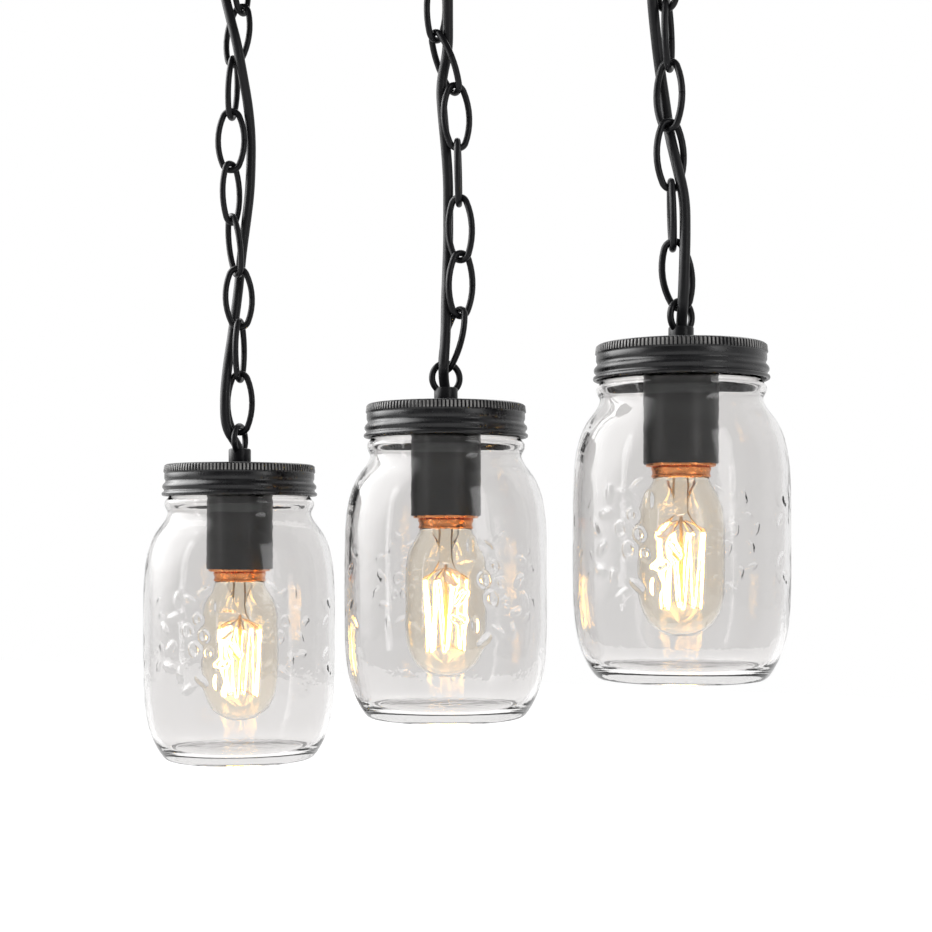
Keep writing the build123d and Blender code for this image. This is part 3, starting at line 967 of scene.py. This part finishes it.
lamp = {
    "sides": 48,
    "smoothing": 1,
    "inside": [
        (2, -125.2), (7, -124.4), (12.2, -121.4), (16.2, -116), (18.0, -109.5), (18.4, -102), (18.4, -92),
        (18.4, -80), (18.2, -73), (16.8, -68), (14.4, -63.5), (12.2, -60.2), (11.6, -58.4), (11.5, -57.5),
    ],
    "outside": [
        (12.2, -57.5), (12.3, -58.4), (12.9, -60.2), (15.1, -63.5), (17.5, -68), (18.8, -73), (19.0, -80),
        (19.0, -92), (19.0, -102), (18.6, -109.5), (16.8, -116.4), (12.7, -122), (7.3, -125.1), (2, -126),
    ],
    "contact": [(2, -33), (4.6, -33.1), (5, -33.6), (5.4, -34.4), (9.5, -36.4), (11.6, -37.4)],
    "capRadius": 12.9,
    "capBottom": -57.5,
    "capSkirt": [(0.5, -56.0), (0.2, -56.5), (0.1, -56.6), (0.2, -57.3), (0.6, -57.5), (1.9, -57.5)],
    "threadPitch": 3.6,
    "threadTurn": [(0.45, 0), (0.1, 0.7), (0, 1.2), (0.1, 1.7), (0.45, 2.6)],
    "mount": [
        (6.0, -57.5), (6.2, -60), (5.0, -62.5), (3.4, -66), (2.9, -69), (3.2, -71), (3.0, -73), (1.6, -73.5),
    ],
    "cageTop": {"radius": 10.3, "height": -82.2},
    "cageBottom": {"radius": 8.6, "height": -113.6},
    "cageLegs": 8,
    "bendHalfWidth": 0.9,
    "wire": 0.42,
    "supportTop": -70.0,
    "supportWire": 0.25,
    "rodRadius": 0.8,
    "lead": [(2.2, -57), (2.4, -66), (3.4, -75), (9.6, -81)],
    "leadRadius": 0.35,
}


def buildLamps():
    glass = turnedForm("lampPattern", lamp["inside"] + lamp["outside"], lamp["sides"])
    applyModifier(glass, "SUBSURF", levels=lamp["smoothing"], render_levels=lamp["smoothing"])
    smooth(glass, 180)
    hangCopies(glass, "LampGlass", "bulb", "lampGlass", "bulb_glass", "bulb_glass")
    radius = lamp["capRadius"]
    thread = threadRings(radius, -38.0, lamp["capBottom"] + 5, lamp["threadPitch"], lamp["threadTurn"])
    rings = lamp["contact"] + thread + [(radius - inwards, height) for inwards, height in lamp["capSkirt"]]
    cap = turnedForm("capPattern", rings, 60)
    smooth(cap)
    hangCopies(cap, "LampCap", "bulb", "copperBrass", "brass", "bulb_cap")
    mount = turnedForm("mountPattern", lamp["mount"], 32)
    smooth(mount, 60)
    hangCopies(mount, "LampMount", "bulb", "lampGlass", "bulb_glass", "bulb_mount")
    buildFilaments()


def wireAlong(name, points, radius):
    # A fine round wire along points in millimetres, as a mesh
    pickPiece(wireCurve(name, [(x / 1000, y / 1000, z / 1000) for x, y, z in points], radius, 2, 5))
    bpy.ops.object.convert(target="MESH")
    return bpy.context.object


def aroundLamp(radius, turn, height):
    return (radius * cos(turn), radius * sin(turn), height)


def buildFilaments():
    # The filament runs down and up round the cage, over hooks at the top and the bottom
    top = lamp["cageTop"]
    bottom = lamp["cageBottom"]
    step = 2 * pi / lamp["cageLegs"]
    points = []
    for leg in range(lamp["cageLegs"]):
        for end, turn, sign in ((top, leg * step, 1), (bottom, (leg + 0.5) * step, -1)):
            bend = lamp["bendHalfWidth"] / end["radius"]
            for share in (-1, 0, 1):
                lift = sign * (0.8 if share == 0 else 0)
                points.append(aroundLamp(end["radius"], turn + share * bend, end["height"] + lift))
    cage = wireAlong("cagePattern", points[:-3], lamp["wire"])
    hangCopies(cage, "Filament", "bulb", "glowingWire", "glowing_wire", "bulb_filament")
    # Stiff wires hold its hooks, from a glass bead on the mount
    supports = []
    for leg in range(lamp["cageLegs"]):
        turn = leg * step
        supports.append(wireAlong(f"hook{leg}", [
            aroundLamp(1.6, turn, lamp["supportTop"] - 6), aroundLamp(5, turn, lamp["supportTop"] - 7),
            aroundLamp(top["radius"] - 0.4, turn, top["height"] + 2.5),
            aroundLamp(top["radius"] + 0.7, turn, top["height"] + 1.6),
        ], lamp["supportWire"]))
        if leg % 2 == 0:
            lower = turn + step / 2
            supports.append(wireAlong(f"foot{leg}", [
                aroundLamp(1.0, lower, bottom["height"] + 3), aroundLamp(4, lower, bottom["height"] + 1.2),
                aroundLamp(bottom["radius"] - 0.4, lower, bottom["height"] - 1.2),
                aroundLamp(bottom["radius"] + 0.6, lower, bottom["height"] - 0.6),
            ], lamp["supportWire"]))
    rod = [(0, 0, lamp["supportTop"] - 4), (0, 0, -90), (0, 0, bottom["height"] + 2.4)]
    supports.append(wireAlong("centreRod", rod, lamp["rodRadius"]))
    for side in (-1, 1):
        lead = [(side * across, 0, height) for across, height in lamp["lead"]]
        supports.append(wireAlong("leadWire", lead, lamp["leadRadius"]))
    frameWires = joinPieces("supportPattern", supports)
    smooth(frameWires)
    hangCopies(frameWires, "LampSupports", "bulb", "supportWire", "glowing_wire")


buildLamps()
print("lamps ready")


# Canopy and the fittings inside it

canopy = {
    "length": 330.0,
    "width": 90.0,
    "depth": 26.0,
    "corner": 12.0,
    "bottomRound": 3.0,
    "sheet": 1.2,
    "rowSpacing": 113.6,
    "loopHole": 4.9,
    "studHole": 2.05,
    "bracketLength": 220.0,
    "bracketWidth": 24.0,
    "bracketSheet": 1.5,
    "bracketCorner": 4.0,
    "wireHolePlace": 20.0,
    "wireHole": 6.0,
    "slotSpacing": 88.9,
    "slotLength": 16.0,
    "slotWidth": 4.8,
    "studRadius": 2.0,
    "studLength": 33.0,
    "threadPitch": 0.7,
    "threadTurn": [(0, 0.1), (0.3, 0.3), (0.3, 0.4), (0, 0.6)],
    "capNutFlats": 8.0,
    "capNutHexagon": 4.6,
    "capNutDome": [(0, -30.4), (0, -30.9), (0.35, -31.9), (1.1, -32.9), (2.2, -33.6), (3.3, -34.0)],
    "nutFlats": 14.0,
    "nutHeight": 4.0,
    "nutBore": 4.9,
}
studPlaces = [side * canopy["rowSpacing"] for side in (-0.5, 0.5)]

terminal = {
    "place": -85.0,
    "size": (34.0, 18.0, 12.0),
    "poles": (-10.0, 0.0, 10.0),
    "pocket": (5.0, 7.0, 6.0),
    "pocketOut": 6.5,
    "groove": (0.8, 20.0, 2.4),
    "screwOut": 4.6,
    "screwHole": (1.9, 3.0),
    "screw": (1.75, 1.6),
    "screwSunk": 1.2,
    "slot": (0.6, 4, 1.2),
    "slotSunk": 0.4,
}

earth = {
    "place": 80.0,
    "radius": 4.5,
    "height": 3.5,
    "washer": 0.7,
    "slot": (0.9, 12, 1.6),
    "slotSunk": 0.2,
}


def block(name, size, place):
    # A cube of this size in millimetres, centred at the place
    bpy.ops.mesh.primitive_cube_add(size=1, location=[along / 1000 for along in place])
    piece = bpy.context.object
    piece.name = name
    piece.scale = [along / 1000 for along in size]
    bpy.ops.object.transform_apply(location=True, scale=True)
    return piece


def drill(radius, place, height, sides=32):
    bpy.ops.mesh.primitive_cylinder_add(
        vertices=sides, radius=radius / 1000, depth=height / 1000, location=[along / 1000 for along in place],
    )
    bpy.ops.object.transform_apply(location=True)
    return bpy.context.object


def cutAway(piece, cutters):
    tool = joinPieces("cutter", cutters)
    applyModifier(piece, "BOOLEAN", operation="DIFFERENCE", solver="EXACT", use_self=True, object=tool)
    dropPattern(tool)


def pickEdges(piece, wanted):
    # Selects the edges whose two ends pass the test
    pickVertices(piece, lambda place: False)
    bpy.ops.mesh.select_mode(type="EDGE")
    leaveEdit()
    places = [vertex.co.copy() for vertex in piece.data.vertices]
    for edge in piece.data.edges:
        edge.select = wanted(places[edge.vertices[0]], places[edge.vertices[1]])
    bpy.ops.object.mode_set(mode="EDIT")


def finishFlats(name, parts, finish, slot, node):
    # Joins the parts of a canopy piece and shades its flat faces evenly
    piece = joinPieces(name, parts)
    smoothFlats(piece)
    finishPiece(piece, finish, "canopy", slot, node)


def buildCanopyCover():
    cover = block("canopyCover", (canopy["length"], canopy["width"], canopy["depth"]), (0, 0, -canopy["depth"] / 2))
    pickEdges(cover, lambda start, end: abs(start.z - end.z) > 0.01)
    bpy.ops.mesh.bevel(offset=canopy["corner"] / 1000, segments=10, affect="EDGES")
    leaveEdit()
    pickFaces(cover, lambda place, normal: normal.z > 0.9)
    bpy.ops.mesh.delete(type="FACE")
    leaveEdit()
    underside = -canopy["depth"] / 1000 + 0.0001
    pickEdges(cover, lambda start, end: start.z < underside and end.z < underside)
    bpy.ops.mesh.bevel(offset=canopy["bottomRound"] / 1000, segments=6, affect="EDGES")
    leaveEdit()
    applyModifier(cover, "SOLIDIFY", thickness=canopy["sheet"] / 1000, offset=-1, use_even_offset=True)
    holes = [drill(canopy["loopHole"], (spot["x"] * 1000, 0, -canopy["depth"]), 8) for spot in pendants.values()]
    holes += [drill(canopy["studHole"], (place, 0, -canopy["depth"]), 8) for place in studPlaces]
    cutAway(cover, holes)
    roundEdges(cover, 0.0003)
    finishFlats("canopyCover", [cover], "canopyEnamel", "black_enamel", "canopy_cover")


def buildBracket():
    thick = canopy["bracketSheet"]
    bracket = block("mountingBracket", (canopy["bracketLength"], canopy["bracketWidth"], thick), (0, 0, -thick / 2))
    pickEdges(bracket, lambda start, end: abs(start.z - end.z) > 0.001)
    bpy.ops.mesh.bevel(offset=canopy["bracketCorner"] / 1000, segments=6, affect="EDGES")
    leaveEdit()
    holes = [drill(canopy["wireHole"], (canopy["wireHolePlace"], 0, 0), 8, 40)]
    holes += [drill(canopy["studHole"], (place, 0, 0), 8) for place in studPlaces]
    for side in (-0.5, 0.5):
        middle = side * canopy["slotSpacing"]
        run = canopy["slotLength"] - canopy["slotWidth"]
        slot = drill(canopy["slotWidth"] / 2, (middle, 0, 0), 8)
        for end in (-1, 1):
            pickVertices(slot, lambda place: (place.x - middle / 1000) * end > 0.0002)
            bpy.ops.transform.translate(value=(end * run / 2000, 0, 0))
            leaveEdit()
        holes.append(slot)
    cutAway(bracket, holes)
    roundEdges(bracket, 0.00025)
    finishFlats("mountingBracket", [bracket], "zincSteel", "zinc_steel", "mounting_bracket")


def buildStuds():
    radius = canopy["studRadius"]
    studs = []
    end = -canopy["studLength"]
    thread = threadRings(radius, -0.4, end + 1.2, canopy["threadPitch"], canopy["threadTurn"])
    rings = [(radius - 0.35, 0), (radius, -0.35), *thread, (radius, end + 0.4), (radius - 0.4, end)]
    for place in studPlaces:
        stud = turnedForm("stud", rings, 20)
        settle(stud, Matrix.Translation((place / 1000, 0, 0)))
        studs.append(stud)
    studs = joinPieces("bracketStuds", studs)
    smooth(studs)
    finishPiece(studs, "zincSteel", "canopy", "zinc_steel", "bracket_studs")


def hexNut(name, flats, height, bore, top):
    # A hexagon with rounded edges and a round bore, its upper face at this height
    nut = drill(flats / 3 ** 0.5, (0, 0, top - height / 2), height, 6)
    nut.name = name
    if bore:
        cutAway(nut, [drill(bore, (0, 0, top - height / 2), height + 4, 40)])
    roundEdges(nut, 0.0004, segments=3)
    return nut


def buildCapNuts():
    radius = canopy["capNutFlats"] / 2 - 0.2
    nuts = []
    rings = [(radius - inwards, height) for inwards, height in canopy["capNutDome"]]
    for place in studPlaces:
        hexagon = hexNut("capNutHexagon", canopy["capNutFlats"], canopy["capNutHexagon"], 0, -canopy["depth"])
        nut = joinPieces("capNut", [hexagon, turnedForm("capNutDome", rings, 36)])
        settle(nut, Matrix.Translation((place / 1000, 0, 0)))
        nuts.append(nut)
    finishFlats("capNuts", nuts, "canopyEnamel", "black_enamel", "cap_nuts")


def buildLoopNuts():
    lidNut = hexNut("loopNut", canopy["nutFlats"], canopy["nutHeight"], canopy["nutBore"], -1.2)
    smoothFlats(lidNut)
    hangCopies(lidNut, "LoopNut", "head", "zincSteel", "zinc_steel", "loop_nut")
    nuts = []
    for spot in pendants.values():
        top = -canopy["depth"] + canopy["sheet"] + canopy["nutHeight"]
        nut = hexNut("canopyNut", canopy["nutFlats"], canopy["nutHeight"], canopy["nutBore"], top)
        settle(nut, Matrix.Translation((spot["x"], 0, 0)))
        nuts.append(nut)
    finishFlats("canopyNuts", nuts, "zincSteel", "zinc_steel", "canopy_nuts")


def buildTerminalBlock():
    top = -canopy["bracketSheet"]
    middle = top - terminal["size"][2] / 2
    bottom = top - terminal["size"][2]
    body = block("terminalBlock", terminal["size"], (terminal["place"], 0, middle))
    poles = [terminal["place"] + pole for pole in terminal["poles"]]
    screwPlaces = [(pole, side * terminal["screwOut"]) for pole in poles for side in (-1, 1)]
    hole, depth = terminal["screwHole"]
    cutters = [drill(hole, (x, y, bottom), depth) for x, y in screwPlaces]
    for pole in poles:
        for side in (-1, 1):
            cutters.append(block("pocket", terminal["pocket"], (pole, side * terminal["pocketOut"], middle)))
    for before, after in zip(poles, poles[1:]):
        cutters.append(block("groove", terminal["groove"], ((before + after) / 2, 0, bottom)))
    cutAway(body, cutters)
    roundEdges(body, 0.0004)
    finishFlats("terminalBlock", [body], "whitePlastic", "white_plastic", "terminal_block")
    radius, height = terminal["screw"]
    screws = []
    for x, y in screwPlaces:
        screw = drill(radius, (x, y, bottom + terminal["screwSunk"]), height, 28)
        cutAway(screw, [block("slot", terminal["slot"], (x, y, bottom + terminal["slotSunk"]))])
        screws.append(screw)
    screws = joinPieces("terminalScrews", screws)
    smooth(screws)
    finishPiece(screws, "zincSteel", "canopy", "zinc_steel")


def buildEarthScrew():
    top = -canopy["bracketSheet"]
    thick = earth["washer"]
    tall = earth["height"] - thick
    head = drill(earth["radius"], (earth["place"], 0, top - thick - tall / 2), tall, 6)
    slotHeight = top - earth["height"] + earth["slotSunk"]
    cutAway(head, [block("slot", earth["slot"], (earth["place"], 0, slotHeight))])
    roundEdges(head, 0.0003)
    washer = drill(earth["radius"] - 0.1, (earth["place"], 0, top - thick / 2), thick, 40)
    roundEdges(washer, 0.0002)
    finishFlats("earthScrew", [head, washer], "copperBrass", "brass", "earth_screw")


buildCanopyCover()
buildBracket()
buildStuds()
buildCapNuts()
buildLoopNuts()
buildTerminalBlock()
buildEarthScrew()
print("canopy ready")

print("scene ready")
